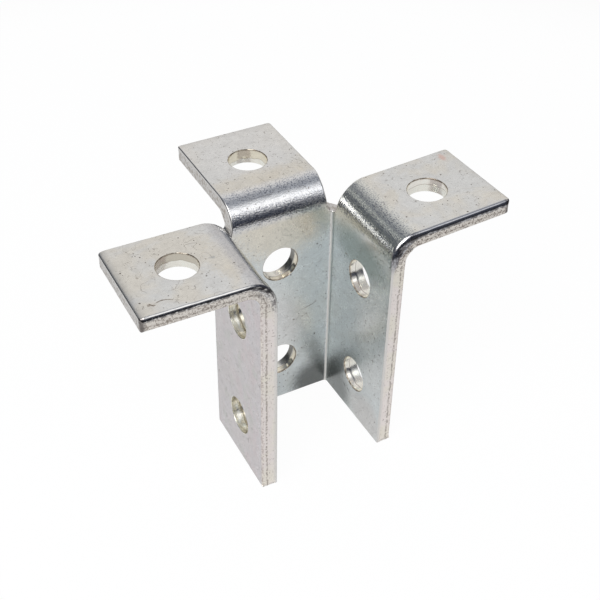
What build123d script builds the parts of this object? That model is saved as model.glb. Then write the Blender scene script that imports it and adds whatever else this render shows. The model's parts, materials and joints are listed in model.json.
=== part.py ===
from build123d import *
from math import sqrt
import os

# Plate and channel: a U that takes a square post against its back wall
plate = 6.0
post = 41.3
post_play = 1.6
wall_depth = 40.6
height = 98.4
corner_inner = 1.2

# Wings: folded outward from the top of the three walls
wing_length = 41.3
wing_setback = 2.2
bend_inner = 5.0

# Relief between two wings: how far it dips below the start of the bends, and its round bottom
relief_below = 1.7
relief_round = 4.0

# Holes
hole_d = 14.3
hole_pitch = 47.6
hole_edge = 20.6
hole_from_back = 20.65

# Edges: rolled over where the press went in, barely broken where it came out
roll_inside = 1.0
roll_outside = 0.5
rim_break = 0.4
corner_round = 1.6

# Places that follow from the sizes, with the origin under the middle of the footprint
half_in = (post + post_play) / 2
half_out = half_in + plate
back_in = (wall_depth - plate - wing_length) / 2
back_out = back_in + plate
front = back_in - wall_depth
wing_tip = half_out + wing_length
back_tip = back_out + wing_length
corner_outer = corner_inner + plate
bend_outer = bend_inner + plate
bend_z = height - bend_outer
relief_x = half_in - wing_setback
relief_y = back_in - wing_setback
relief_z = bend_z - relief_below + relief_round
relief_start = wing_setback / 8
relief_finish = (wing_setback - corner_inner) * sqrt(2) + corner_outer + plate
hole_y = back_in - hole_from_back
hole_heights = (hole_edge, hole_edge + hole_pitch)


def skin(depth, bend_radii):
    """Faces of the folded plate at one depth through it: 0 on the inside of the fold."""
    flats = wing_connector.faces().filter_by(GeomType.PLANE)
    bends = wing_connector.faces().filter_by(GeomType.CYLINDER)
    tops = flats.filter_by(Axis.Z).filter_by(lambda f: abs(f.center().Z - height + depth) < 0.01)
    backs = flats.filter_by(Axis.Y).filter_by(lambda f: abs(f.center().Y - back_in - depth) < 0.01)
    sides = flats.filter_by(Axis.X).filter_by(lambda f: abs(abs(f.center().X) - half_in - depth) < 0.01)
    folds = bends.filter_by(lambda f: min(abs(f.radius - r) for r in bend_radii) < 0.01)
    return tops + backs + sides + folds


with BuildPart() as wing_connector:
    # Back wall and its wing: one bent section, as wide as the flat between the folded corners
    with BuildSketch(Plane.YZ) as back_section:
        with BuildLine():
            FilletPolyline((back_in, 0), (back_in, height), (back_tip, height), radius=bend_outer)
            offset(amount=plate, side=Side.RIGHT)
        make_face()
    extrude(amount=half_in - corner_inner, both=True)

    # Side walls and their wings, along the flat of the walls
    with BuildSketch(Plane.XZ.offset(-front)) as side_section:
        with BuildLine():
            FilletPolyline((half_in, 0), (half_in, height), (wing_tip, height), radius=bend_outer)
            offset(amount=plate, side=Side.RIGHT)
        make_face()
        mirror(about=Plane.YZ)
    extrude(amount=-(wall_depth - corner_inner))

    # Folded corners that join the walls, up to where the wings start to bend
    with BuildSketch() as corner_section:
        with Locations((half_in - corner_inner, back_in - corner_inner)):
            Rectangle(corner_outer, corner_outer, align=(Align.MIN, Align.MIN))
            Circle(corner_outer, mode=Mode.INTERSECT)
            Circle(corner_inner, mode=Mode.SUBTRACT)
        mirror(about=Plane.YZ)
    extrude(amount=bend_z)

    # Relief: the open corners between the wings, which also set the wings' edges
    with BuildSketch(Plane.XY.offset(relief_z)) as open_corners:
        with Locations((relief_x, relief_y)):
            Rectangle(wing_tip, back_tip - front, align=(Align.MIN, Align.MIN))
        mirror(about=Plane.YZ)
    extrude(amount=height - relief_z + plate, mode=Mode.SUBTRACT)

    # Relief: its round bottom, opening out square to the plate round the folded corner
    for side in (1, -1):
        corner = Plane(
            origin=(side * relief_x, relief_y, relief_z), x_dir=(1, -side, 0), z_dir=(side, 1, 0)
        )
        with BuildSketch(corner.offset(relief_start)) as relief_inner_end:
            Ellipse(relief_start, relief_round)
        with BuildSketch(corner.offset(relief_finish)) as relief_outer_end:
            Ellipse(relief_finish, relief_round)
        loft(ruled=True, mode=Mode.SUBTRACT)

    # Holes: two in each wall of the channel and one in each wing
    with BuildSketch(Plane.YZ.offset(half_out)) as side_wall_holes:
        with Locations([(hole_y, z) for z in hole_heights]):
            Circle(hole_d / 2)
    extrude(amount=-2 * half_out, mode=Mode.SUBTRACT)
    with BuildSketch(Plane.XZ.offset(-back_out)) as back_wall_holes:
        with Locations([(0, z) for z in hole_heights]):
            Circle(hole_d / 2)
    extrude(amount=plate, mode=Mode.SUBTRACT)
    with BuildSketch(Plane.XY.offset(height)) as wing_holes:
        with Locations(
            (wing_tip - hole_edge, hole_y), (hole_edge - wing_tip, hole_y), (0, back_tip - hole_edge)
        ):
            Circle(hole_d / 2)
    extrude(amount=-plate, mode=Mode.SUBTRACT)

    # Corners of the wings and of the side walls, rounded in the plate's own plane
    tips = [
        wing_connector.faces().sort_by(Axis.X)[0],
        wing_connector.faces().sort_by(Axis.X)[-1],
        wing_connector.faces().sort_by(Axis.Y)[-1],
    ]
    wing_corners = [edge for tip in tips for edge in tip.edges().filter_by(Axis.Z)]
    wall_corners = wing_connector.faces().sort_by(Axis.Z)[0].edges().group_by(Axis.Y)[0]
    fillet(wing_corners + wall_corners, radius=corner_round)

    # Punched rims: broken on the inside of the fold, where the punch went in
    inside = skin(0, (bend_outer, corner_inner))
    chamfer([edge for face in inside for edge in face.edges() if edge.is_closed], length=rim_break)

    # Sheared outline: rolled over on the inside, barely broken on the outside
    inside = skin(0, (bend_outer, corner_inner))
    borders = [edge for face in inside for edge in face.edges() if not edge.is_closed]
    fillet([edge for edge in borders if borders.count(edge) == 1], radius=roll_inside)
    outside = skin(plate, (bend_inner, corner_outer))
    borders = [edge for face in outside for edge in face.edges() if not edge.is_closed]
    fillet([edge for edge in borders if borders.count(edge) == 1], radius=roll_outside)

os.makedirs("parts", exist_ok=True)
wing_connector.part.label = "wing_connector"
export_step(wing_connector.part, "parts/wing_connector.step")
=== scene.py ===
import json
import math
import bpy
import numpy as np
from mathutils import Matrix, Vector, noise
from mathutils.geometry import delaunay_2d_cdt


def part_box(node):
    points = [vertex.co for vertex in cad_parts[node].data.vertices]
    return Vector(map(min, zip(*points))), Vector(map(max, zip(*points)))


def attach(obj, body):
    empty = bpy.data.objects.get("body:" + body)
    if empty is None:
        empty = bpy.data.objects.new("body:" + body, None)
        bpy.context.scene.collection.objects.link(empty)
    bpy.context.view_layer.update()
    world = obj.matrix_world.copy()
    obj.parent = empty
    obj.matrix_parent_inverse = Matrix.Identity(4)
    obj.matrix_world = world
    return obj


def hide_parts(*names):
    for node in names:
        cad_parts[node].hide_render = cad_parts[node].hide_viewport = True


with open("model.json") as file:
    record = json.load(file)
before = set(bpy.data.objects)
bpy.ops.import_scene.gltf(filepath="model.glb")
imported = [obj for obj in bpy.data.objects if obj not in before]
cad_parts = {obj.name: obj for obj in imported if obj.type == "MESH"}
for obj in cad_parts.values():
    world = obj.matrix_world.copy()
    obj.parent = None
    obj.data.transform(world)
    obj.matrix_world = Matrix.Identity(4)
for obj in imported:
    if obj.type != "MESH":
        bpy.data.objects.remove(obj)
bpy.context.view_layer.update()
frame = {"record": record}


# The blank. One cross-shaped blank of thick hot-rolled steel plate, sheared to its outline and
# punched flat, with a rounded notch between each two arms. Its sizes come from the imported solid
# and its mounts, in metres, and it is laid out flat by girth (across) and rise (up an arm).
mounts = {mount["name"]: mount for mount in frame["record"]["mounts"]}
low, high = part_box("wing_connector")
plate = mounts["back_wing_hole"]["dims"]["length_mm"] / 1000
hole_r = mounts["back_wing_hole"]["dims"]["r_mm"] / 1000
half_out = mounts["right_wall_holes"]["pos_m"][0]
half_in = half_out - plate
back_in = mounts["channel_seat"]["pos_m"][1]
hole_y = mounts["right_wall_holes"]["pos_m"][1]
hole_mid = mounts["right_wall_holes"]["pos_m"][2]
hole_pitch = mounts["right_wall_holes"]["dims"]["spacing_y_mm"] / 1000
wing_hole_reach = mounts["back_wing_hole"]["pos_m"][1] - back_in

corner_inner = 0.0012
bend_inner = 0.0050
wing_setback = 0.0022
relief_below = 0.0017
relief_round = 0.0040
corner_round = 0.0016
wing_round = 0.0010
foot_round = 0.0005

bend_outer = bend_inner + plate
bend_z = high.z - bend_outer
relief_x = half_in - wing_setback
relief_y = back_in - wing_setback
relief_z = bend_z - relief_below + relief_round
back_flat = half_in - corner_inner
corner_arc = math.pi / 2 * (corner_inner + plate / 2)
bend_arc = math.pi / 2 * (bend_inner + plate / 2)
side_start = back_flat + corner_arc
corner_y = back_in - corner_inner
girth_half = side_start + corner_y - low.y
wing_back = side_start + corner_y - relief_y
bend_end = bend_z + bend_arc
blank_end = bend_end + high.x - half_in - bend_outer
outline_step = 0.0006


def run(start, end, count):
    """Points from start up to, but not at, end."""
    share = np.arange(count)[:, None] / count
    return np.array(start) + share * (np.array(end) - np.array(start))


def turn(centre, radius, first, last, count=7):
    """Points of a rounded corner, from one angle up to, but not at, the other."""
    angle = np.radians(first + (last - first) * np.arange(count) / count)
    return np.array(centre) + radius * np.column_stack([np.cos(angle), np.sin(angle)])


def corner_share(sweep, depth):
    """How far round a folded corner the relief's straight line leaves the plate, from 0 to 1."""
    away = np.array([1 + sweep, 1 - sweep]) / math.hypot(1 + sweep, 1 - sweep)
    start = np.array([relief_x - back_flat, relief_y - corner_y])
    along = start @ away
    reach = -along + math.sqrt(along**2 - start @ start + (corner_inner + depth) ** 2)
    x, y = start + reach * away
    return math.atan2(x, y) / (math.pi / 2)


def steps(length):
    """How many of the outline's steps a length takes."""
    return max(2, round(length / outline_step))


def notch(depth, count=30):
    """The relief at one depth through the plate, from a side arm round to the back arm."""
    points = []
    for angle in np.linspace(math.pi / 2, -math.pi / 2, count):
        sweep = math.sin(angle)
        z = relief_z - relief_round * math.cos(angle)
        lean = math.asin(max(z - bend_z, 0) / (bend_outer - depth))
        out = bend_outer - (bend_outer - depth) * math.cos(lean)
        rise = min(z, bend_z) + bend_arc * lean / (math.pi / 2)
        x = relief_x + (back_in + out - relief_y) * (1 + sweep) / max(1 - sweep, 1e-9)
        y = relief_y + (half_in + out - relief_x) * (1 - sweep) / max(1 + sweep, 1e-9)
        if x <= back_flat:
            points.append((x, rise))
        elif y <= corner_y:
            points.append((side_start + corner_y - y, rise))
        else:
            points.append((back_flat + corner_arc * corner_share(sweep, depth), rise))
    return np.array(points)


def outline(depth, inset):
    """The blank's closed outline at one depth, drawn in by inset, as (girth, rise) rows."""
    cut = notch(depth)
    foot, tip, r = foot_round, corner_round, wing_round
    girth, top = girth_half, blank_end
    half = np.vstack([
        run((0, 0), (girth - foot, 0), steps(girth)),
        turn((girth - foot, foot), foot, -90, 0),
        run((girth, foot), (girth, top - tip), steps(top)),
        turn((girth - tip, top - tip), tip, 0, 90),
        run((girth - tip, top), (wing_back + r, top), steps(girth - wing_back)),
        turn((wing_back + r, top - r), r, 90, 180),
        run((wing_back, top - r), cut[0], steps(top - bend_z)),
        cut,
        run(cut[-1], (relief_x, top - r), steps(top - bend_z))[1:],
        turn((relief_x - r, top - r), r, 0, 90),
        run((relief_x - r, top), (0, top), steps(relief_x)),
    ])
    other = np.vstack([(0, top), half[:0:-1]]) * (-1, 1)
    line = np.vstack([half, other])
    along = np.roll(line, -1, 0) - np.roll(line, 1, 0)
    along /= np.linalg.norm(along, axis=1)[:, None]
    inset = inset + fold_pull(line[:, 1], depth) * np.abs(along[:, 1])
    return line + inset[:, None] * np.column_stack([-along[:, 1], along[:, 0]])


hole_places = [
    (girth, rise)
    for girth in (-side_start - corner_y + hole_y, 0, side_start + corner_y - hole_y)
    for rise in (hole_mid - hole_pitch / 2, hole_mid + hole_pitch / 2,
                 bend_end + wing_hole_reach - bend_outer)
]


def hole_ring(place, growth, count=72):
    """A punched hole's closed outline, its radius grown by growth."""
    angle = np.linspace(0, 2 * math.pi, count, endpoint=False)
    return np.array(place) + (hole_r + growth) * np.column_stack([np.cos(angle), -np.sin(angle)])


# The folds. The blank is folded twice over the press: its sides into a channel, and the top of
# each wall outward into a wing. The press thinned the channel's corners and left small errors: the
# wings a little high or low, the side walls open, and the right wing's end out of square.
wing_lift = {"left": math.radians(0.50), "back": math.radians(-0.20), "right": math.radians(2.71)}
wall_splay = {"left": math.radians(0.57), "right": math.radians(0.53)}
drawn_in = 0.00035
squeezed_out = 0.00025
corner_thinned = 0.0012

# The right wing is square for a stretch past its fold, and skewed over the rest of its length
out_of_square = 0.0014
square_until = 0.0240
skewed_run = 0.0123


def on_fold(rise):
    """How far into a wing's fold a place is: 0 at its two ends, 1 in its middle."""
    return np.sin(np.clip((rise - bend_z) / bend_arc, 0, 1) * math.pi) ** 2


def fold_pull(rise, depth):
    """How far an edge is drawn in where a fold stretches it, or out where it is squeezed."""
    return on_fold(rise) * (drawn_in * (1 - depth / plate) - squeezed_out * depth / plate)


def fold(girth, rise, depth):
    """Where a point of the flat blank lies once the plate is folded, as (x, y, z) rows."""
    side = np.abs(girth) > (back_flat + side_start) / 2
    side_lift = np.where(girth > 0, wing_lift["right"], wing_lift["left"])
    full = math.pi / 2 - np.where(side, side_lift, wing_lift["back"])
    bent = np.clip((rise - bend_z) / bend_arc, 0, 1) * full
    past = np.maximum(rise - bend_end, 0)
    towards_front = np.clip((girth - wing_back) / (girth_half - wing_back), 0, 1)
    skewed = np.clip((past - square_until) / skewed_run, 0, 1) ** 2
    past = past + out_of_square * towards_front * skewed
    radius = bend_outer - depth
    out = bend_outer - radius * np.cos(bent) + past * np.sin(full)
    up = np.minimum(rise, bend_z) + radius * np.sin(bent) + past * np.cos(full)
    full = math.pi / 2 - np.where(girth > 0, wall_splay["right"], wall_splay["left"])
    bent = np.clip((np.abs(girth) - back_flat) / corner_arc, 0, 1) * full
    past = np.maximum(np.abs(girth) - side_start, 0)
    radius = corner_inner + out - corner_thinned * np.sin(2 * bent) * depth / plate
    x = np.minimum(np.abs(girth), back_flat) + radius * np.sin(bent) + past * np.cos(full)
    y = corner_y + radius * np.cos(bent) - past * np.sin(full)
    return np.column_stack([np.sign(girth) * x, y, up])


# The two faces of the plate. Rolled flat in the mill, with the faint waves and dents of plate
# that has been handled, stretched over the press at the folds, and pulled down towards the tip
# of each wing where the shear came through.

# The grid's step on the flats and round the folds, the rings beside each edge, and the room between
grid_step = 0.0013
fold_step = 0.0006
ring_gaps = (0.00015, 0.00050)
grid_inset = 0.0009
grid_clear = 0.0004
hole_slack = 0.00001

# The waves, how unlike they are on the two faces, and the droop of the tips
wave_height = 0.00003
wave_length = 0.022
wave_apart = 5
tip_droop = {"left": 0.00063, "back": 0.00020, "right": 0.00020}
tip_droop_width = 0.0040


def grid_lines(marks):
    """Line places between pairs of marks, each stretch with its own step."""
    lines = [run([a], [b], max(1, round((b - a) / step)))[:, 0] for a, b, step in marks]
    return np.concatenate(lines + [[marks[-1][1]]])


def inside(points, line):
    """Which points lie inside a closed line."""
    ax, ay = line.T
    bx, by = np.roll(line, -1, 0).T
    px, py = points[:, 0][:, None], points[:, 1][:, None]
    spans = (ay > py) != (by > py)
    with np.errstate(divide="ignore", invalid="ignore"):
        cross = px < ax + (py - ay) * (bx - ax) / (by - ay)
    return (spans & cross).sum(1) % 2 == 1


def far_from(points, line, gap):
    """Which points lie at least gap from every point of a line, taken in parts to save memory."""
    away = np.ones(len(points), bool)
    for part in np.array_split(np.arange(len(line)), 12):
        apart = np.hypot(points[:, :1] - line[part, 0], points[:, 1:] - line[part, 1])
        away &= apart.min(1) > gap
    return away


def sag(girth, rise, depth):
    """How far a point sits below its true depth: the plate's waves, and the tips' droop."""
    places = zip(girth / wave_length, rise / wave_length, depth / plate * wave_apart)
    wave = np.array([noise.noise(Vector(place)) for place in places]) * wave_height
    side_droop = np.where(girth > 0, tip_droop["right"], tip_droop["left"])
    droop = np.where(np.abs(girth) > side_start, side_droop, tip_droop["back"])
    near = np.clip(1 - (blank_end - rise) / tip_droop_width, 0, 1)
    return wave + droop * near**3 * (1 - depth / plate)


def face_mesh(depth, inset, rim):
    """One face of the blank: flat points, triangles, and the points' numbers round each loop."""
    loops = [outline(depth, inset)] + [hole_ring(place, rim) for place in hole_places]
    rings = []
    for gap in ring_gaps:
        rings.append(outline(depth, inset + gap)[::2])
        rings += [hole_ring(place, rim + gap)[::2] for place in hole_places]
    girths = grid_lines([
        (-girth_half, -side_start, grid_step), (-side_start, -back_flat, fold_step),
        (-back_flat, back_flat, grid_step), (back_flat, side_start, fold_step),
        (side_start, girth_half, grid_step),
    ])
    rises = grid_lines([(0, bend_z, grid_step), (bend_z, bend_end, fold_step),
                        (bend_end, blank_end, grid_step)])
    grid = np.array(np.meshgrid(girths, rises)).reshape(2, -1).T
    keep = inside(grid, outline(depth, inset + grid_inset))
    for place in hole_places:
        keep &= np.hypot(*(grid - place).T) > hole_r + rim + grid_inset
    grid = grid[keep]
    grid = grid[far_from(grid, outline(depth, inset + ring_gaps[1]), grid_clear)]
    edges, marks, start = [], [], 0
    for loop in loops:
        count = len(loop)
        edges += [(start + i, start + (i + 1) % count) for i in range(count)]
        marks.append(range(start, start + count))
        start += count
    points = [Vector(point) for point in np.vstack(loops + rings + [grid]) / plate]
    verts, _, faces, origins, _, _ = delaunay_2d_cdt(points, edges, [], 2, 1e-7)
    number = np.full(len(points), -1)
    for i, origin in enumerate(origins):
        for o in origin:
            number[o] = i
    flat = np.array([v[:] for v in verts]) * plate
    triangles = np.array([tuple(f) for f in faces])
    for place in hole_places:
        reach = np.hypot(*(flat - place).T)[triangles].max(1)
        triangles = triangles[reach > hole_r + rim + hole_slack]
    return flat, triangles, [number[list(mark)] for mark in marks]


# The cut edges. Where the shear and the punches went in, the inside face is rolled over and
# burnished; below an uneven line the steel tore away, down to a small burr on the outside face.
# The burnished part is pulled taller round the folds, and rolls deepest along the wings' fronts.

# A roll is the surface's angle from straight down, in degrees, at places along it. Each kind of cut
# has its roll, the rounding at its outside face, and how far back its torn steel leans.
small_roll = ((0, 90), (0.00005, 68), (0.00038, 36), (0.00068, 0))
left_roll = ((0, 60), (0.0006, 42), (0.0007, 28), (0.0016, 14), (0.0018, 0))
right_roll = ((0, 90), (0.0001, 78), (0.0006, 66), (0.00065, 56), (0.00095, 42), (0.00105, 30),
              (0.0022, 14), (0.0025, 0))
rim_roll = ((0, 90), (0.00012, 60), (0.00030, 20), (0.00042, 0))
cut_kinds = {
    "side": (small_roll, 0.0004, 0.0001),
    "wall": (small_roll, 0.0008, 0.0005),
    "left wing": (left_roll, 0.0010, 0.00045),
    "right wing": (right_roll, 0.0008, 0.0003),
    "hole": (rim_roll, 0.00025, 0.00018),
}

# Where one kind of cut gives way to the next: how far from the side arms' fronts, how far from the
# wings' tips, and how far below and above the start of the wings' folds
front_fade = (0.0016, 0.0004)
tip_fade = 0.0010
wing_fade = (0.0040, 0.0010)

# How far the punch slid before the steel broke, hole by hole, from the left arm to the right one
punch_lands = (0.0022, 0.0022, 0.0028, 0.0022, 0.0022, 0.0036, 0.0022, 0.0022, 0.0026)

# How the torn line wanders and lifts at the folds, then how rough the torn steel is, and how lumpy at
# the folds: the height, the size along and down the cut, and how near the plate's two faces it
# calms. The shifts give each loop, and the lumps, noise of their own.
land_wander = 0.26
land_wander_size = 0.0040
land_lift = 0.8
roll_lift = 0.4
tear_rough = 0.00007
tear_size = (0.0016, 0.0012)
rough_untorn = 0.15
fold_lumps = 0.00022
lump_size = (0.0020, 0.0016)
calm_inside = 0.0005
calm_outside = 0.0006
loop_shift = 3.7
lump_shift = 9.1

# How many lines run down each part of a cut, and the share of the torn part in which it turns torn
roll_rows = 14
land_rows = 4
tear_rows = 12
burr_rows = 5
torn_within = 0.25


def smooth(value, low, high):
    """0 at low, 1 at high, smooth between."""
    share = np.clip((value - low) / (high - low), 0, 1)
    return share * share * (3 - 2 * share)


def kind_shares(line):
    """Each outline point's share of each kind of cut: side, wall, left wing and right wing."""
    girth, rise = np.abs(line[:, 0]), line[:, 1]
    front = smooth(girth, girth_half - front_fade[0], girth_half - front_fade[1])
    front *= smooth(rise, blank_end, blank_end - tip_fade)
    front *= smooth(rise, 0, foot_round)
    wing = front * smooth(rise, bend_z - wing_fade[0], bend_z + wing_fade[1])
    right = line[:, 0] > 0
    return np.column_stack([1 - front, front - wing, wing * ~right, wing * right])


def rolled(turns, count):
    """Depth and inset down a rolled edge, given how its slope changes along it."""
    along = np.linspace(0, turns[-1][0], count * 8 + 1)
    slope = np.radians(np.interp(along, *zip(*turns)))
    middle = (slope[1:] + slope[:-1]) / 2
    depth = np.concatenate([[0], np.cumsum(np.cos(middle) * along[1])])[::8]
    inset = np.concatenate([[0], np.cumsum(np.sin(middle) * along[1])])[::8]
    return list(zip(depth, inset[-1] - inset))


def cut_profile(kind, land=0):
    """Depth, inset and how torn each line down a kind of cut is, from the inside face out."""
    turns, burr, back = cut_kinds[kind]
    rows = [(depth, inset, 0) for depth, inset in rolled(turns, roll_rows)]
    if land:
        rows += [(depth, 0, 0) for depth in np.linspace(rows[-1][0], land, land_rows + 1)[1:]]
    land = rows[-1][0]
    for share in np.linspace(0, 1, tear_rows + 1)[1:]:
        torn = min(share / torn_within, 1)
        rows.append((land + (plate - burr - land) * share, back * torn, torn))
    for angle in np.linspace(0, math.pi / 2, burr_rows + 1)[1:]:
        rows.append((plate - burr * (1 - math.sin(angle)), back + burr * (1 - math.cos(angle)), 1))
    return np.array(rows)


def travel(line):
    """How far along a closed line each of its points is, and the unit step there."""
    step = np.roll(line, -1, 0) - np.roll(line, 1, 0)
    length = np.linalg.norm(step, axis=1)
    return np.cumsum(length / 2), step / length[:, None]


def cut_lines(line, profiles, shares, loop):
    """How deep, how far in and how torn each line down a cut is, uneven as the steel tore."""
    depth, inset, torn = np.einsum("pk,krc->crp", shares, profiles)
    row = np.arange(len(depth))[:, None]
    last = len(depth) - 1 - burr_rows
    land = last - tear_rows
    along, _ = travel(line)
    places = [Vector((a / land_wander_size, loop_shift * loop, 0)) for a in along]
    wander = np.array([noise.fractal(spot, 1.0, 2.0, 3) for spot in places])
    folding = on_fold(line[:, 1]) * (loop == 0)
    taller = 1 + land_wander * wander * (1 + folding) + land_lift * folding
    down = (depth - depth[land]) / (depth[last] - depth[land])
    tearing = depth[land] * taller + down * (depth[last] - depth[land] * taller)
    depth = np.where(row <= land, depth * taller, np.where(row < last, tearing, depth))
    inset = np.where(row <= land, inset * (1 + roll_lift * folding), inset)
    return depth, inset, torn


def tear(line, depths, torn, loop):
    """Roughens one line down a cut, most where the steel tore."""
    along, step = travel(line)
    places = [Vector((a / tear_size[0], d / tear_size[1], loop_shift * loop))
              for a, d in zip(along, depths)]
    rough = np.array([noise.fractal(spot, 1.0, 2.0, 3) for spot in places])
    places = [Vector((a / lump_size[0], d / lump_size[1], lump_shift + loop))
              for a, d in zip(along, depths)]
    lumps = np.array([noise.fractal(spot, 1.0, 2.0, 2) for spot in places])
    lumps *= fold_lumps * on_fold(line[:, 1]) * (loop == 0) * np.clip(depths / calm_inside, 0, 1)
    rough = rough * tear_rough * (rough_untorn + (1 - rough_untorn) * torn) + lumps
    rough *= np.clip((plate - depths) / calm_outside, 0, 1)
    return line + rough[:, None] * np.column_stack([-step[:, 1], step[:, 0]])


layers = {"flat": [], "depth": [], "through": [], "torn": []}
faces, finishes = [], []
ZINC, EDGE, HOLE = 0, 1, 2


def add_points(flat, depth, through, torn):
    """Adds points of the blank and gives the number of the first."""
    first = sum(len(part) for part in layers["depth"])
    for name, values in (("depth", depth), ("through", through), ("torn", torn)):
        layers[name].append(np.broadcast_to(values, len(flat)))
    layers["flat"].append(flat)
    return first


border = outline(0, 0)
edge_profiles = np.array([cut_profile(kind) for kind in cut_kinds if kind != "hole"])
hole_profiles = [cut_profile("hole", land)[None] for land in punch_lands]
edge_lines = cut_lines(border, edge_profiles, kind_shares(border), 0)
face_loops = []
for depth, row in ((0, 0), (plate, -1)):
    flat, triangles, marks = face_mesh(depth, edge_lines[1][row], hole_profiles[0][0, row, 1])
    first = add_points(flat, depth, depth / plate, 0)
    if depth == 0:
        triangles = triangles[:, ::-1]
    faces += (triangles + first).tolist()
    finishes += [ZINC] * len(triangles)
    face_loops.append([mark + first for mark in marks])
for loop in range(1 + len(hole_places)):
    lines = edge_lines
    if loop:
        rim = hole_ring(hole_places[loop - 1], 0)
        lines = cut_lines(rim, hole_profiles[loop - 1], np.ones((len(rim), 1)), loop)
    upper = face_loops[0][loop]
    for row in range(1, len(lines[0])):
        if row == len(lines[0]) - 1:
            lower = face_loops[1][loop]
        else:
            depths, inset, torn = (part[row] for part in lines)
            if loop:
                line = hole_ring(hole_places[loop - 1], inset[:, None])
            else:
                line = outline(depths.mean(), inset)
            line = tear(line, depths, torn, loop)
            lower = add_points(line, depths, depths / plate, torn) + np.arange(len(line))
        for a, b, c, d in zip(upper, np.roll(upper, -1), np.roll(lower, -1), lower):
            faces.append((a, b, c, d))
        finishes += [HOLE if loop else EDGE] * len(upper)
        upper = lower

flat, depth = np.vstack(layers["flat"]), np.concatenate(layers["depth"])
folded = fold(*flat.T, depth + sag(*flat.T, depth))
connector = bpy.data.meshes.new("wing_connector_plate")
connector.from_pydata(folded.tolist(), [], [tuple(int(v) for v in face) for face in faces])
connector.polygons.foreach_set("use_smooth", np.ones(len(faces), bool))
connector.polygons.foreach_set("material_index", np.array(finishes, np.int32))
for name, values in (("girth", flat[:, 0]), ("rise", flat[:, 1]),
                     ("through", np.concatenate(layers["through"])),
                     ("torn", np.concatenate(layers["torn"]))):
    attribute = connector.attributes.new(name, "FLOAT", "POINT")
    attribute.data.foreach_set("value", values.astype(np.float32))
plate_piece = bpy.data.objects.new("wing_connector_plate", connector)
bpy.context.scene.collection.objects.link(plate_piece)
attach(plate_piece, "root")
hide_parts("wing_connector")


# The zinc plating. Bright zinc over rolled steel, satin on the flats and glossier where a fold
# has stretched it, with passivation tints: beige and grey on the wings, green-grey inside the
# channel and lilac outside. It has the hairlines, specks and rubs of parts shipped loose in a bin.
def add_node(tree, kind, feeds=None, **settings):
    """Adds a shader node, with its settings, and its inputs as values or other nodes' outputs."""
    made = tree.nodes.new("ShaderNode" + kind)
    for name, value in settings.items():
        setattr(made, name, value)
    for slot, feed in (feeds or {}).items():
        if isinstance(feed, bpy.types.NodeSocket):
            tree.links.new(feed, made.inputs[slot])
        else:
            made.inputs[slot].default_value = feed
    return made


def calc(tree, operation, *feeds):
    """One step of arithmetic."""
    return add_node(tree, "Math", dict(enumerate(feeds)), operation=operation).outputs[0]


def fade(tree, value, low, high):
    """0 at low, 1 at high, smooth between."""
    feeds = {"Value": value, "From Min": low, "From Max": high}
    return add_node(tree, "MapRange", feeds, interpolation_type="SMOOTHSTEP").outputs[0]


def times(tree, *shares):
    """Shares or brightnesses multiplied together."""
    product = shares[0]
    for share in shares[1:]:
        product = calc(tree, "MULTIPLY", product, share)
    return product


def tint(tree, share, under, over, mode="MIX"):
    """Lays one colour over another. The Mix node's colours go in at 6 and 7 and come out at 2."""
    under = under if isinstance(under, bpy.types.NodeSocket) else (*under, 1)
    over = over if isinstance(over, bpy.types.NodeSocket) else (*over, 1)
    feeds = {0: share, 6: under, 7: over}
    return add_node(tree, "Mix", feeds, data_type="RGBA", blend_type=mode).outputs[2]


def paint_over(tree, colour, paint, share, most):
    """Lays a paint over a colour where share is 1, and hides at most a stated part of it."""
    return tint(tree, times(tree, share, most), colour, paint)


def clouds(tree, place, size, detail=2.0, roughness=0.5, warp=0.0):
    """Soft random patches of about one size, from 0 to 1."""
    feeds = {"Vector": place, "Scale": 1 / size, "Detail": detail, "Roughness": roughness,
             "Distortion": warp}
    return add_node(tree, "TexNoise", feeds).outputs[0]


def patches(tree, place, size, detail, roughness, low, high):
    """Random patches with an edge: 0 where the clouds are at low, 1 where they are at high."""
    return fade(tree, clouds(tree, place, size, detail, roughness), low, high)


def node_group(name, inputs, outputs):
    """A new shader node group with its named sockets, its input node and its output node."""
    group = bpy.data.node_groups.new(name, "ShaderNodeTree")
    for socket in inputs:
        group.interface.new_socket(socket, in_out="INPUT", socket_type="NodeSocketVector")
    for socket in outputs:
        group.interface.new_socket(socket, in_out="OUTPUT", socket_type="NodeSocketFloat")
    given = group.nodes.new("NodeGroupInput").outputs
    result = group.nodes.new("NodeGroupOutput").inputs
    return group, given, result


# Passivation: broad patches of tint, and a finer mottle
passivation, given, result = node_group("passivation", ["Place"], ["Warm", "Mottle"])
warm = fade(passivation, clouds(passivation, given["Place"], 0.016, 3, 0.55, 0.6), 0.40, 0.60)
broad = clouds(passivation, given["Place"], 0.0035, 4, 0.6, 0.8)
fine = clouds(passivation, given["Place"], 0.0007, 3, 0.65)
mottle = calc(passivation, "MULTIPLY_ADD", fine, 0.45, times(passivation, broad, 0.55))
passivation.links.new(warm, result["Warm"])
passivation.links.new(mottle, result["Mottle"])

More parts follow.
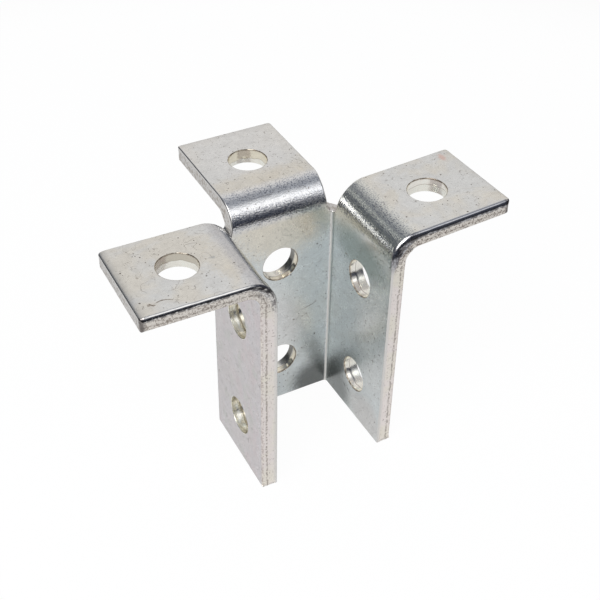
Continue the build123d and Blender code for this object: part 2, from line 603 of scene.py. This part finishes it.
# Handling: fine short curved hairlines, by size, thinness and shift, and specks of dirt, by the
# size of their cells, how rare they are and how large they get
hairline_kinds = ((0.006, 0.0055, 0.0), (0.011, 0.004, 0.3), (0.004, 0.007, 0.6),
                  (0.0025, 0.010, 0.9))
speck_kinds = ((0.0022, 0.72, 0.19), (0.0009, 0.84, 0.30))
handling, given, result = node_group("handling_marks", ["Place"], ["Hairlines", "Specks"])
lines = 0.0
for size, thin, shift in hairline_kinds:
    moved = add_node(handling, "VectorMath", {0: given["Place"], 1: (shift, 0, shift)}).outputs[0]
    level = clouds(handling, moved, size, 1.5, 0.5, 0.4)
    near = calc(handling, "ABSOLUTE", calc(handling, "SUBTRACT", level, 0.5))
    part = fade(handling, clouds(handling, moved, size * 0.8, 1), 0.56, 0.62)
    line = times(handling, fade(handling, near, thin, thin * 0.3), part)
    lines = calc(handling, "MAXIMUM", line, lines)
specks = 0.0
for size, rare, most in speck_kinds:
    dots = add_node(handling, "TexVoronoi", {"Vector": given["Place"], "Scale": 1 / size})
    chance = add_node(handling, "SeparateColor", {0: dots.outputs["Color"]}).outputs
    reach = times(handling, fade(handling, chance[0], rare, 1.0), most)
    speck = fade(handling, calc(handling, "SUBTRACT", dots.outputs["Distance"], reach), 0.0, -0.05)
    specks = calc(handling, "MAXIMUM", speck, specks)
handling.links.new(lines, result["Hairlines"])
handling.links.new(specks, result["Specks"])

# One rub, stain or scratch at a spot of the blank: an oval or a bowed line with a ragged edge
rub_inputs = ["Spot", "Place", "Centre", "Turn", "Size", "Bow", "Ragged"]
rub, given, result = node_group("rub_mark", rub_inputs, ["Mask"])
onto = {"Vector": given["Spot"], "Location": given["Centre"], "Rotation": given["Turn"],
        "Scale": given["Size"]}
spread = add_node(rub, "Mapping", onto, vector_type="TEXTURE").outputs[0]
parts = add_node(rub, "SeparateXYZ", {0: spread}).outputs
bowed = times(rub, parts["X"], parts["X"], given["Bow"])
bowed = calc(rub, "ADD", parts["Y"], bowed)
apart = add_node(rub, "CombineXYZ", {0: parts["X"], 1: bowed}).outputs[0]
length = add_node(rub, "VectorMath", {0: apart}, operation="LENGTH").outputs["Value"]
edge_noise = calc(rub, "SUBTRACT", clouds(rub, given["Place"], 0.0012, 3, 0.6), 0.5)
length = calc(rub, "MULTIPLY_ADD", edge_noise, given["Ragged"], length)
rub.links.new(fade(rub, length, 1.0, 0.35), result["Mask"])

# Grain: the fine orange-peel relief of zinc over rolled steel
grain, given, result = node_group("plating_grain", ["Place"], ["Height"])
coarse = clouds(grain, given["Place"], 0.0015, 1, 0.5)
fine = clouds(grain, given["Place"], 0.00045, 1, 0.5)
grain.links.new(calc(grain, "MULTIPLY_ADD", coarse, 0.5, fine), result["Height"])


def plated(name, roughness):
    """A new metallic material: its node tree, shader, place, blank coordinates and groups."""
    material = bpy.data.materials.new(name)
    material.use_nodes = True
    tree = material.node_tree
    shader = tree.nodes["Principled BSDF"]
    shader.inputs["Metallic"].default_value = 1
    shader.inputs["Roughness"].default_value = roughness
    place = add_node(tree, "TexCoord").outputs["Object"]
    read = {n: add_node(tree, "Attribute", attribute_name=n).outputs["Fac"]
            for n in ("girth", "rise", "through", "torn")}
    for group in (passivation, handling, grain):
        laid = add_node(tree, "Group", node_tree=group)
        tree.links.new(place, laid.inputs["Place"])
        read.update({output.name: output for output in laid.outputs})
    connector.materials.append(material)
    return tree, shader, place, read


def raise_grain(tree, shader, height, distance, strength):
    """Gives a surface its relief."""
    bump = add_node(tree, "Bump", {"Height": height, "Distance": distance, "Strength": strength})
    tree.links.new(bump.outputs[0], shader.inputs["Normal"])


def mottled(tree, colour, read, spread):
    """Darkens and lightens a colour with the fine mottle."""
    shade = calc(tree, "MULTIPLY_ADD", read["Mottle"], spread, 1 - spread / 2)
    grey = add_node(tree, "CombineColor", {0: shade, 1: shade, 2: shade}).outputs[0]
    return tint(tree, 1.0, colour, grey, "MULTIPLY")


# The plate's faces: tints by place, then wear, then the single marks where the photograph has
# them. A fade starts at its first number and is full at its second: metres along girth and rise,
# and shares from 0 to 1 for through, torn and the patches.
cool_zinc, warm_zinc = (0.830, 0.830, 0.805), (0.850, 0.815, 0.735)
channel_green = (0.730, 0.788, 0.805)
outer_lilac = (0.720, 0.680, 0.696)
outer_rose, outer_green = (0.755, 0.665, 0.670), (0.665, 0.670, 0.625)
back_fold, right_fold = (0.800, 0.805, 0.825), (0.815, 0.825, 0.765)
hairline_brown, speck_brown = (0.28, 0.25, 0.22), (0.15, 0.12, 0.10)
pit_blue = (0.20, 0.22, 0.28)
# The dark line beside each inside corner is painted shade, and the white line along it a painted
# highlight
corner_shade, painted_corner_highlight = (0.36, 0.41, 0.40), (1.00, 0.985, 0.95)
bright_band = bend_z + 0.0067

tree, zinc, place, read = plated("zinc_plate", 0.25)
inside_face = fade(tree, read["through"], 0.6, 0.4)
outside = calc(tree, "SUBTRACT", 1, inside_face)
on_wall = fade(tree, read["rise"], bend_z + 0.004, bend_z - 0.014)
in_channel = times(tree, inside_face, on_wall)
folding = times(tree, fade(tree, read["rise"], bend_z - 0.001, bend_z + 0.002),
                fade(tree, read["rise"], bend_end + 0.001, bend_end - 0.003))
across = calc(tree, "ABSOLUTE", read["girth"])
in_corner = times(tree, fade(tree, across, back_flat + 0.0010, back_flat + 0.0022),
                  fade(tree, across, side_start - 0.0014, side_start - 0.0026), in_channel)
beside_corner = times(tree, fade(tree, across, side_start - 0.0016, side_start - 0.0006),
                      fade(tree, across, side_start + 0.0005, side_start), in_channel)
colour = tint(tree, read["Warm"], cool_zinc, warm_zinc)
colour = paint_over(tree, colour, channel_green, in_channel, 0.75)
colour = paint_over(tree, colour, outer_lilac, outside, 0.8)
rosy = times(tree, outside, patches(tree, place, 0.011, 3, 0.6, 0.50, 0.66))
colour = paint_over(tree, colour, outer_rose, rosy, 0.55)
greenish = times(tree, outside, patches(tree, place, 0.008, 4, 0.65, 0.46, 0.34))
colour = paint_over(tree, colour, outer_green, greenish, 0.55)
spot = add_node(tree, "CombineXYZ", {0: read["girth"], 1: read["rise"]}).outputs[0]


def lay_marks(colour, marks):
    """Lays single stains or scratches, and patches of painted light and shade, over a colour, on the
    inside face.
    """
    for girth, rise, reach, wide, turned, bow, ragged, paint, most in marks:
        mark = add_node(tree, "Group", node_tree=rub)
        tree.links.new(spot, mark.inputs["Spot"])
        tree.links.new(place, mark.inputs["Place"])
        settings = {
            "Centre": (girth / 1000, rise / 1000, 0),
            "Turn": (0, 0, math.radians(turned)),
            "Size": (reach / 1000, wide / 1000, 1),
            "Bow": (bow,) * 3,
            "Ragged": (ragged,) * 3,
        }
        for name, value in settings.items():
            mark.inputs[name].default_value = value
        colour = paint_over(tree, colour, paint, times(tree, mark.outputs[0], inside_face), most)
    return colour


# Of the colours below, the pale, the green-grey and the dull one are painted light and shade
CREAM = (0.905, 0.895, 0.865)
BEIGE = (0.84, 0.78, 0.66)
PAINTED_LIGHT_PALE = (0.90, 0.92, 0.91)
PALE_ROSE = (0.90, 0.885, 0.87)
PAINTED_SHADE_DULL = (0.74, 0.725, 0.71)
PAINTED_SHADE_GREEN_GREY = (0.465, 0.525, 0.50)
GREY = (0.50, 0.51, 0.50)
PINK = (0.82, 0.62, 0.55)
BROWN = (0.22, 0.17, 0.13)
# Dark soot for small smudges, also used as painted shade at the foot of the channel
SOOT_AND_PAINTED_SHADE = (0.16, 0.17, 0.165)

# Broad tints, and patches of painted light and shade inside the channel. Each row has the girth and
# rise of its middle, its half length and half width, all in mm, then how it is turned, its bow, its
# raggedness, its colour and how much it hides.
colour = lay_marks(colour, (
    (0.0, 126.0, 34.0, 30.0, 0, 0, 0.3, CREAM, 0.80),
    (-48.0, 101.0, 14.0, 8.0, 0, 0, 1.2, BEIGE, 0.55),
    (0.0, 101.0, 30.0, 9.0, 0, 0, 0.8, BEIGE, 0.60),
    (0.0, 84.0, 26.0, 18.0, 0, 0, 0.6, BEIGE, 0.75),
    # Painted light and shade on the right wall's inside: a pale patch lightens its front, a
    # green-grey patch darkens it high up, and a dull patch darkens its foot
    (60.0, 50.0, 17.0, 44.0, 0, 0, 0.3, PAINTED_LIGHT_PALE, 0.85),
    (45.0, 79.0, 25.0, 11.0, 0, 0, 0.3, PAINTED_SHADE_GREEN_GREY, 0.95),
    (57.0, 6.0, 17.0, 14.0, 0, 0, 0.3, PAINTED_SHADE_DULL, 0.85),
    (-1.0, 37.0, 14.0, 26.0, 0, 0, 0.3, PALE_ROSE, 0.60),
    # Painted shade: two dark patches at the foot of the back wall and the right wall, by their
    # corner, for the shadowed floor mirrored there
    (15.0, 3.0, 13.0, 15.0, 0, 0, 0.3, SOOT_AND_PAINTED_SHADE, 0.89),
    (34.0, 4.0, 14.0, 17.0, 0, 0, 0.3, SOOT_AND_PAINTED_SHADE, 0.68),
))
stretched = tint(tree, fade(tree, read["girth"], back_flat, side_start), back_fold, right_fold)
colour = paint_over(tree, colour, stretched, folding, 0.75)
colour = mottled(tree, colour, read, 0.60)
colour = paint_over(tree, colour, hairline_brown, read["Hairlines"], 0.60)
colour = paint_over(tree, colour, speck_brown, read["Specks"], 0.85)

# The folds' grain, with dark pits everywhere but on the bright band; the left fold has little of it
off_left = fade(tree, read["girth"], -side_start, -back_flat)
grainy_fold = times(tree, folding, calc(tree, "MULTIPLY_ADD", off_left, 0.7, 0.3))
from_bright = calc(tree, "ABSOLUTE", calc(tree, "SUBTRACT", read["rise"], bright_band))
pits = times(tree, grainy_fold, fade(tree, from_bright, 0.0006, 0.0020),
             patches(tree, place, 0.0005, 1, 0.5, 0.54, 0.61))
colour = paint_over(tree, colour, pit_blue, pits, 0.75)

# Scratches, rubs, dots and smudges, in rows as above
colour = lay_marks(colour, (
    (-60.3, 126.8, 4.6, 0.34, 90, -6.0, 2.4, BROWN, 0.85),
    (-61.4, 130.2, 1.5, 0.5, 60, 2.0, 2.4, BROWN, 0.75),
    (-46.9, 103.7, 1.5, 0.8, 70, 0, 2.5, GREY, 0.75),
    (-46.7, 105.9, 0.5, 0.4, 0, 0, 1.0, BROWN, 0.55),
    (-46.5, 129.6, 0.8, 0.5, 30, 0, 2.0, BROWN, 0.45),
    (-60.9, 131.4, 0.9, 0.7, 0, 0, 1.5, BROWN, 0.60),
    (-1.4, 101.6, 3.2, 0.22, 105, 1.0, 0.6, BROWN, 0.32),
    (12.4, 43.5, 4.6, 0.30, 14, -1.0, 0.8, BROWN, 0.60),
    (6.0, 39.0, 0.6, 0.5, 0, 0, 1.0, BROWN, 0.75),
    (36.3, 73.1, 0.7, 0.5, 0, 0, 1.0, BROWN, 0.75),
    (8.3, 108.5, 0.5, 0.35, 0, 0, 1.0, BROWN, 0.60),
    (40.2, 10.1, 1.4, 0.6, -35, 0, 1.2, SOOT_AND_PAINTED_SHADE, 0.90),
    (43.2, 9.6, 1.2, 0.6, -35, 0, 1.2, SOOT_AND_PAINTED_SHADE, 0.90),
    (32.0, 131.6, 2.9, 1.6, 0, 0, 1.0, PINK, 0.95),
    (-20.4, 128.8, 1.6, 4.0, 0, 0, 1.0, PINK, 0.50),
))
# Painted shade and highlight in the channel's inside corners: a dark line of painted shade beside
# each corner, and a white line of painted highlight along its crease
colour = paint_over(tree, colour, corner_shade, beside_corner, 0.55)
colour = tint(tree, in_corner, colour, painted_corner_highlight)
tree.links.new(colour, zinc.inputs["Base Color"])
rough = calc(tree, "MULTIPLY_ADD", read["Mottle"], 0.12, 0.20)
rough = calc(tree, "MULTIPLY_ADD", folding, -0.09, rough)
rough = calc(tree, "MULTIPLY_ADD", in_corner, 0.35, rough)
tree.links.new(rough, zinc.inputs["Roughness"])
raise_grain(tree, zinc, read["Height"], 0.0001,
            calc(tree, "MULTIPLY_ADD", grainy_fold, 0.66, 0.035))

# The sheared cuts: glossy where rolled over, dull, grainy and flecked where torn. Depths through the
# plate are in mm here.
torn_rose, torn_cream, torn_wing = (1.00, 0.93, 0.89), (0.98, 0.93, 0.83), (0.92, 0.87, 0.80)
roll_grey, right_roll_grey = (0.80, 0.78, 0.75), (0.52, 0.52, 0.54)
side_grey, side_stain = (0.76, 0.74, 0.71), (0.43, 0.38, 0.32)
seam_brown, burr_brown, fleck_brown = (0.34, 0.29, 0.25), (0.46, 0.37, 0.33), (0.26, 0.21, 0.18)
fold_soot, grime, tip_dirt = (0.14, 0.13, 0.14), (0.16, 0.15, 0.15), (0.20, 0.18, 0.17)

tree, edge, place, read = plated("sheared_edge", 0.5)
deep = times(tree, read["through"], plate * 1000)
across = calc(tree, "ABSOLUTE", read["girth"])
on_right = fade(tree, read["girth"], -0.01, 0.01)
on_front = fade(tree, across, girth_half - 0.0022, girth_half - 0.0008)
on_wing = times(tree, fade(tree, read["rise"], bend_z - 0.006, bend_z + 0.002), on_front)
colour = tint(tree, read["Warm"], torn_rose, torn_cream)
colour = tint(tree, on_wing, colour, torn_wing)
rolled_under = tint(tree, times(tree, on_wing, on_right), roll_grey, right_roll_grey)
colour = tint(tree, read["torn"], rolled_under, colour)
stained = times(tree, patches(tree, place, 0.0013, 3, 0.65, 0.46, 0.60), read["torn"])
side_cut = paint_over(tree, side_grey, side_stain, stained, 0.75)
colour = tint(tree, on_front, side_cut, colour)

# A brown seam part of the way through the plate, and brown along the burr
seam_depth = calc(tree, "MULTIPLY_ADD", clouds(tree, place, 0.0045, 3, 0.6), 1.6, 3.3)
off_seam = calc(tree, "ABSOLUTE", calc(tree, "SUBTRACT", deep, seam_depth))
seam = times(tree, fade(tree, off_seam, 0.55, 0.12),
             patches(tree, place, 0.0009, 3, 0.7, 0.40, 0.54), on_front)
colour = paint_over(tree, colour, seam_brown, seam, 0.72)
burr = times(tree, fade(tree, deep, 5.0, 5.5),
             patches(tree, place, 0.0008, 3, 0.7, 0.46, 0.60), on_front)
colour = paint_over(tree, colour, burr_brown, burr, 0.60)

# Flecks where it tore, more of them on the wings and stronger on the right one
rare = calc(tree, "MULTIPLY_ADD", on_wing, -0.08, 0.68)
rare = calc(tree, "MULTIPLY_ADD", clouds(tree, place, 0.003, 2, 0.5), -0.16, rare)
flecks = calc(tree, "SUBTRACT", clouds(tree, place, 0.0007, 2, 0.6), rare)
flecks = times(tree, fade(tree, flecks, 0.0, 0.08), read["torn"],
               calc(tree, "MULTIPLY_ADD", on_front, 0.4, 0.6),
               calc(tree, "MULTIPLY_ADD", on_right, 0.22, 0.63))
colour = tint(tree, flecks, colour, fleck_brown)

# Soot in the folds' rough steel, grime caught under the wings' rolled edges, and dirt at their tips
sooty = times(tree, fade(tree, read["rise"], bend_z - 0.004, bend_z + 0.003),
              fade(tree, read["rise"], bend_end + 0.003, bend_end - 0.004),
              fade(tree, deep, 4.4, 2.8), patches(tree, place, 0.0008, 3, 0.65, 0.46, 0.56),
              on_front, calc(tree, "MULTIPLY_ADD", on_right, 0.35, 0.45))
colour = tint(tree, sooty, colour, fold_soot)
under_roll = calc(tree, "MULTIPLY_ADD", on_right, 0.6, 1.4)
caught = fade(tree, calc(tree, "ABSOLUTE", calc(tree, "SUBTRACT", deep, under_roll)), 0.95, 0.45)
caught = times(tree, caught, patches(tree, place, 0.0014, 3, 0.65, 0.42, 0.52), on_wing)
colour = paint_over(tree, colour, grime, caught, 0.85)
at_tip = times(tree, fade(tree, across, girth_half - 0.0024, girth_half - 0.0010),
               fade(tree, read["rise"], blank_end - 0.0022, blank_end - 0.0008),
               patches(tree, place, 0.0012, 2, 0.6, 0.24, 0.42))
colour = paint_over(tree, colour, tip_dirt, at_tip, 0.9)
tree.links.new(colour, edge.inputs["Base Color"])
grainy = times(tree, read["torn"], calc(tree, "MULTIPLY_ADD", on_front, 0.5, 0.5))
tree.links.new(calc(tree, "MULTIPLY_ADD", grainy, 0.22, 0.20), edge.inputs["Roughness"])
raise_grain(tree, edge, clouds(tree, place, 0.0008, 3, 0.6), 0.00008,
            calc(tree, "MULTIPLY_ADD", grainy, 0.7, 0.2))

# The holes' walls: brownish where the punch slid, cream and crisp below where the steel broke, with a
# painted dark reflection in the back wall's holes
left_land, right_land, broken_cream = (0.88, 0.82, 0.67), (1.00, 0.96, 0.88), (1.00, 0.97, 0.88)
# The near black is a painted dark reflection in the back wall's holes
painted_dark_reflection, wing_dirt = (0.12, 0.12, 0.11), (0.52, 0.48, 0.42)
rim_roll_brown, rim_brown, lip_brown = (0.52, 0.46, 0.38), (0.25, 0.19, 0.14), (0.38, 0.34, 0.28)

tree, wall, place, read = plated("punched_wall", 0.35)
broke = fade(tree, read["torn"], 0.35, 0.60)
land_colour = tint(tree, fade(tree, read["girth"], 0.02, 0.04), left_land, right_land)
colour = tint(tree, broke, land_colour, broken_cream)
colour = mottled(tree, colour, read, 0.50)
# Painted dark reflection: near black on the right half of each back-wall hole's wall, towards the
# outside face
in_back_wall = times(tree, fade(tree, read["girth"], 0.0015, 0.0045),
                     fade(tree, read["girth"], 0.011, 0.009),
                     fade(tree, read["rise"], bend_z, bend_z - 0.004),
                     fade(tree, read["through"], 0.42, 0.55))
colour = paint_over(tree, colour, painted_dark_reflection, in_back_wall, 0.85)
in_left_wing = times(tree, fade(tree, read["girth"], -0.020, -0.040),
                     fade(tree, read["rise"], bend_z, bend_end), fade(tree, read["torn"], 0.5, 0.1))
colour = paint_over(tree, colour, wing_dirt, in_left_wing, 0.6)
colour = paint_over(tree, colour, rim_roll_brown, fade(tree, read["through"], 0.12, 0.06), 0.7)
rim_dirt = times(tree, fade(tree, read["through"], 0.12, 0.04),
                 patches(tree, place, 0.0012, 2, 0.6, 0.46, 0.56))
colour = paint_over(tree, colour, rim_brown, rim_dirt, 0.75)
lip = times(tree, fade(tree, read["torn"], 0.05, 0.30), fade(tree, read["torn"], 0.75, 0.45))
colour = paint_over(tree, colour, lip_brown, lip, 0.6)
tree.links.new(colour, wall.inputs["Base Color"])
tree.links.new(calc(tree, "MULTIPLY_ADD", read["torn"], 0.10, 0.17), wall.inputs["Roughness"])
raise_grain(tree, wall, clouds(tree, place, 0.0007, 3, 0.6), 0.00005, 0.5)


# The stage. A pale sheet of paper that ends a little way out, soft studio light from all round
# with a bright box in front on the right, and the photograph's viewpoint.
paper_end = (0.35, 0.48)
paper_white, beyond_dark = (0.80, 0.80, 0.80), (0.05, 0.05, 0.055)
backdrop_white = (1.02, 1.02, 1.02)

# How much of the paper is plain white to the camera, and mirrored in the metal
camera_glow, mirror_glow = 0.94, 0.50

floor_mesh = bpy.data.meshes.new("floor")
floor_mesh.from_pydata([(-3, -3, 0), (3, -3, 0), (3, 3, 0), (-3, 3, 0)], [], [(0, 1, 2, 3)])
floor = bpy.data.objects.new("floor", floor_mesh)
bpy.context.scene.collection.objects.link(floor)
floor_paint = bpy.data.materials.new("floor_paint")
floor_paint.use_nodes = True
tree = floor_paint.node_tree
tree.nodes.clear()
spot = add_node(tree, "TexCoord").outputs["Object"]
distance = add_node(tree, "VectorMath", {0: spot}, operation="LENGTH").outputs["Value"]
paper = tint(tree, fade(tree, distance, *paper_end), paper_white, beyond_dark)
sheet = add_node(tree, "BsdfDiffuse", {"Color": paper})
path = add_node(tree, "LightPath")
white = tint(tree, path.outputs["Is Camera Ray"], paper, backdrop_white)
glow = add_node(tree, "Emission", {"Color": white, "Strength": 1.0})
mirrored = times(tree, path.outputs["Is Glossy Ray"], mirror_glow)
seen = calc(tree, "MULTIPLY_ADD", path.outputs["Is Camera Ray"], camera_glow, mirrored)
mix = add_node(tree, "MixShader", {0: seen, 1: sheet.outputs[0], 2: glow.outputs[0]})
add_node(tree, "OutputMaterial", {"Surface": mix.outputs[0]})
floor_mesh.materials.append(floor_paint)


def compass(azimuth, elevation):
    """The way to a lamp: azimuth from the back wing's side towards the right wing's."""
    a, e = math.radians(azimuth), math.radians(elevation)
    return Vector((math.sin(a) * math.cos(e), math.cos(a) * math.cos(e), math.sin(e)))


world = bpy.data.worlds.new("studio")
world.use_nodes = True
tree = world.node_tree
tree.nodes.clear()
gaze = add_node(tree, "TexCoord").outputs["Generated"]
height = add_node(tree, "SeparateXYZ", {0: gaze}).outputs["Z"]
room_dark, ceiling_grey = (0.045, 0.052, 0.075), (0.29, 0.31, 0.35)
light = tint(tree, fade(tree, height, 0.15, 1.00), room_dark, ceiling_grey)

# The way to each light's middle, the angles from it where it starts to fade and ends, its brightness
soft_boxes = (
    ("back right panel", 37, 18, 26, 58, (0.545, 0.525, 0.500)),
    ("front right box", 151, 43, 3, 17, (0.62, 0.62, 0.62)),
    ("front right glow", 151, 43, 5, 32, (0.55, 0.55, 0.55)),
    ("overhead", 60, 70, 5, 38, (0.06, 0.06, 0.06)),
    ("left rear strip", -37, 34, 1, 5, (1.05, 1.07, 0.98)),
    ("left rear glow", -46, 11, 2, 11, (0.19, 0.20, 0.17)),
)
for name, azimuth, elevation, inner, outer, colour in soft_boxes:
    aim = add_node(tree, "VectorMath", {0: gaze, 1: compass(azimuth, elevation)},
                   operation="DOT_PRODUCT").outputs["Value"]
    cover = fade(tree, aim, math.cos(math.radians(outer)), math.cos(math.radians(inner)))
    light = tint(tree, cover, light, tint(tree, 1.0, light, colour, "ADD"))
light = tint(tree, add_node(tree, "LightPath").outputs["Is Camera Ray"], light, (1, 1, 1))
sky = add_node(tree, "Background", {"Color": light, "Strength": 1.0})
add_node(tree, "OutputWorld", {"Surface": sky.outputs[0]})
bpy.context.scene.world = world


def lamp(name, azimuth, elevation, distance, size, radiance):
    """A square soft lamp that faces the connector, of a stated brightness."""
    light = bpy.data.lights.new(name, "AREA")
    light.size = size
    light.energy = radiance * math.pi * size**2
    holder = bpy.data.objects.new(name, light)
    way = compass(azimuth, elevation)
    holder.location = Vector((0, 0, 0.07)) + way * distance
    holder.rotation_euler = (-way).to_track_quat("-Z", "Y").to_euler()
    bpy.context.scene.collection.objects.link(holder)


lamp("camera_side_lamp", -127, 48, 1.2, 0.9, 3.8)

# The photograph's viewpoint
view_target = Vector((0.0013, -0.0165, 0.0603))
view_azimuth = math.radians(28.86)
view_elevation = math.radians(39.75)
view_roll = math.radians(1.26)
view_distance = 0.4080
view_lens = 66.91

forward = Vector((math.sin(view_azimuth) * math.cos(view_elevation),
                  math.cos(view_azimuth) * math.cos(view_elevation), -math.sin(view_elevation)))
level = Vector((math.cos(view_azimuth), -math.sin(view_azimuth), 0))
right = math.cos(view_roll) * level + math.sin(view_roll) * level.cross(forward)
camera = bpy.data.objects.new("camera", bpy.data.cameras.new("camera"))
camera.matrix_world = Matrix.Translation(view_target - forward * view_distance) @ Matrix(
    (right, right.cross(forward), -forward)).transposed().to_4x4()
camera.data.lens = view_lens
camera.data.clip_start = 0.01
bpy.context.scene.collection.objects.link(camera)
bpy.context.scene.camera = camera
bpy.context.scene.view_settings.view_transform = "Standard"
